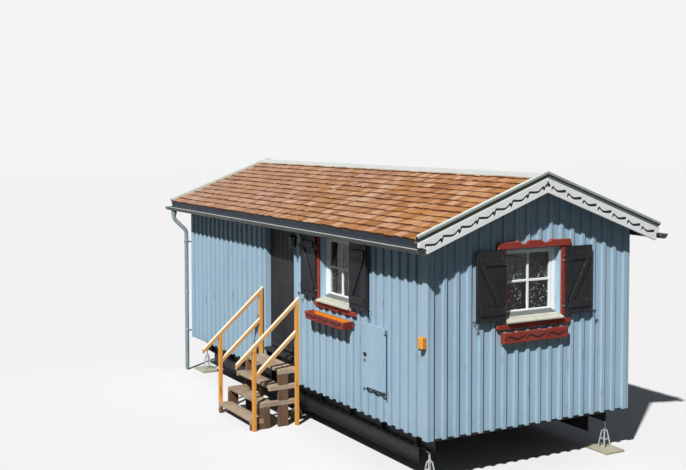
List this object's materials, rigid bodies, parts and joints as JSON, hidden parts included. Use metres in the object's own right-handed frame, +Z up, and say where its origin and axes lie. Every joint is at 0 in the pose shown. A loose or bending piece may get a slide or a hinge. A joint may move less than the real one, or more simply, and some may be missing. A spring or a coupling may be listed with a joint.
{
  "type": "tiny chalet",
  "caption": "Small timber chalet on a steel underframe, with shuttered windows, a boarded door at the top of wooden steps, a wall hatch, a shingle roof and gutters",
  "frame": {"origin": "middle of the bounding box in plan, on the ground", "axes": "+X along the hut towards the gable with the shuttered window, -Y out of the door, +Z up"},
  "size_m": [7.715, 4.255, 3.5298],
  "materials": {
    "chassis_steel": "black paint",
    "cross_steel": "black paint",
    "stand_steel": "galvanised",
    "floor_boards": "planed boards",
    "blue_boards_a": "blue paint",
    "blue_boards_b": "blue paint",
    "blue_boards_c": "blue paint",
    "blue_boards_d": "blue paint",
    "blue_boards_e": "blue paint",
    "blue_boards_f": "blue paint",
    "shingles_a": "weathered shingles",
    "shingles_b": "weathered shingles",
    "ridge_metal": "matt sheet",
    "verge_metal": "grey-green paint",
    "white_boards": "white paint",
    "slate_sheet": "slate-blue paint",
    "zinc": "weathered zinc",
    "pipe_zinc": "weathered zinc",
    "dark_frame": "dark stain",
    "threshold": "matt",
    "white_frames": "white paint",
    "glass": "clear",
    "cream_sills": "cream paint",
    "red_casings": "red paint",
    "red_heads": "red paint",
    "red_aprons": "red paint",
    "curtain_lace": "lace",
    "red_box_a": "red paint",
    "red_box_b": "red paint",
    "lamp_black": "black paint",
    "yellow_plastic": "matt",
    "hatch_lining": "blue paint",
    "hinge_iron": "black",
    "step_planks_a": "weathered",
    "step_planks_b": "weathered",
    "pine_posts": "planed pine",
    "pine_rails": "planed pine",
    "door_boards": "dark stain",
    "handle_iron": "black",
    "dark_shutter_a": "dark stain",
    "dark_shutter_b": "dark stain",
    "dark_shutter_c": "dark stain",
    "dark_shutter_d": "dark stain",
    "blue_hatch": "blue paint"
  },
  "bodies": {
    "house": {"chassis_beams": "chassis_steel", "chassis_cross_members": "cross_steel", "support_stands": "stand_steel", "floor": "floor_boards", "front_wall_left": "blue_boards_a", "front_wall_over_door": "blue_boards_b", "front_wall_right": "blue_boards_c", "back_wall": "blue_boards_d", "near_gable_wall": "blue_boards_e", "far_gable_wall": "blue_boards_f", "roof_deck_front": "shingles_a", "roof_deck_back": "shingles_b", "ridge_cap": "ridge_metal", "verge_caps": "verge_metal", "bargeboards": "white_boards", "eave_aprons": "slate_sheet", "gutters": "zinc", "downpipes": "pipe_zinc", "door_frame": "dark_frame", "door_threshold": "threshold", "window_frames": "white_frames", "window_glass": "glass", "window_sills": "cream_sills", "window_casings": "red_casings", "window_heads": "red_heads", "window_aprons": "red_aprons", "window_curtains": "curtain_lace", "front_flower_box": "red_box_a", "gable_flower_box": "red_box_b", "wall_lamp": "lamp_black", "yellow_box": "yellow_plastic", "hatch_frame": "hatch_lining", "hinge_pintles": "hinge_iron", "step_sides": "step_planks_a", "step_treads": "step_planks_b", "step_posts": "pine_posts", "step_rails": "pine_rails"},
    "door": {"door_leaf": "door_boards", "door_handle": "handle_iron"},
    "front_shutter_left": {"front_shutter_left": "dark_shutter_a"},
    "front_shutter_right": {"front_shutter_right": "dark_shutter_b"},
    "gable_shutter_left": {"gable_shutter_left": "dark_shutter_c"},
    "gable_shutter_right": {"gable_shutter_right": "dark_shutter_d"},
    "hatch": {"hatch_door": "blue_hatch"}
  },
  "joints": [
    {"name": "front_shutter_left_swing", "type": "hinge", "parent": "house", "child": "front_shutter_left", "pos_m": [1.0375, -1.2465, 1.822], "axis": [0, 0, 1], "range_deg": [0, 180]},
    {"name": "front_shutter_right_swing", "type": "hinge", "parent": "house", "child": "front_shutter_right", "pos_m": [1.9075, -1.2465, 1.822], "axis": [0, 0, -1], "range_deg": [0, 180]},
    {"name": "gable_shutter_left_swing", "type": "hinge", "parent": "house", "child": "gable_shutter_left", "pos_m": [3.6015, -0.1495, 1.822], "axis": [0, 0, 1], "range_deg": [0, 180]},
    {"name": "gable_shutter_right_swing", "type": "hinge", "parent": "house", "child": "gable_shutter_right", "pos_m": [3.6015, 0.7205, 1.822], "axis": [0, 0, -1], "range_deg": [0, 180]},
    {"name": "door_swing", "type": "hinge", "parent": "house", "child": "door", "pos_m": [-0.6, -1.0435, 0.9], "axis": [0, 0, 1], "range_deg": [0, 95]},
    {"name": "hatch_swing", "type": "hinge", "parent": "house", "child": "hatch", "pos_m": [2.7295, -1.2445, 0.89], "axis": [0, 0, 1], "range_deg": [0, 100]}
  ]
}
